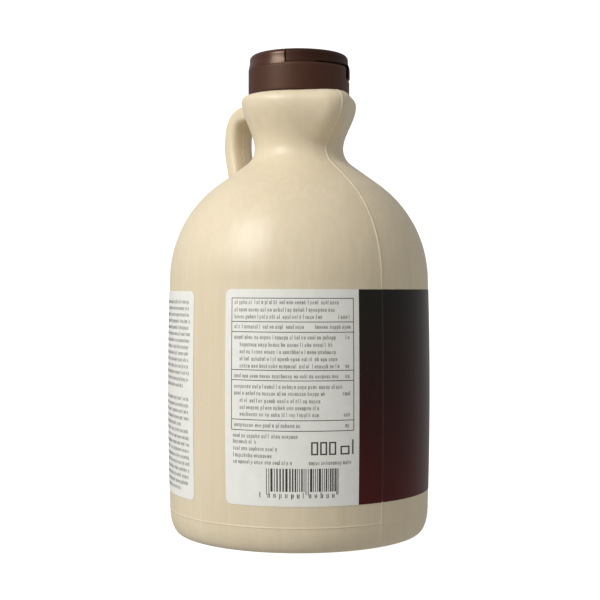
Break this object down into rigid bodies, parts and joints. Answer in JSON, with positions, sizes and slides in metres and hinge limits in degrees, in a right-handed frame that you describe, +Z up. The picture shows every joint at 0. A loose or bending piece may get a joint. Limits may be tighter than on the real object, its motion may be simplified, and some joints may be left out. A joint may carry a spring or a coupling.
{
  "type": "syrup jug",
  "caption": "Small round plastic jug with a domed shoulder, an egg-shaped collar, a ring handle at the neck, a flip-top cap and a wrap-round label.",
  "frame": {"origin": "bottom centre of the foot, on the jug's axis", "axes": "+Z up along the axis; the handle points to -X and the front parting line to +X"},
  "size_m": [0.1018, 0.1018, 0.184],
  "materials": {
    "jug": "satin blow-moulded polyethylene, beige, softly streaked",
    "cap": "semi-gloss moulded polypropylene, dark brown",
    "label": "coated paper, white panels and one dark brown-red panel, plain printed bars"
  },
  "bodies": {
    "root": {"jug": "jug", "cap": "cap", "label": "label"}
  },
  "joints": []
}
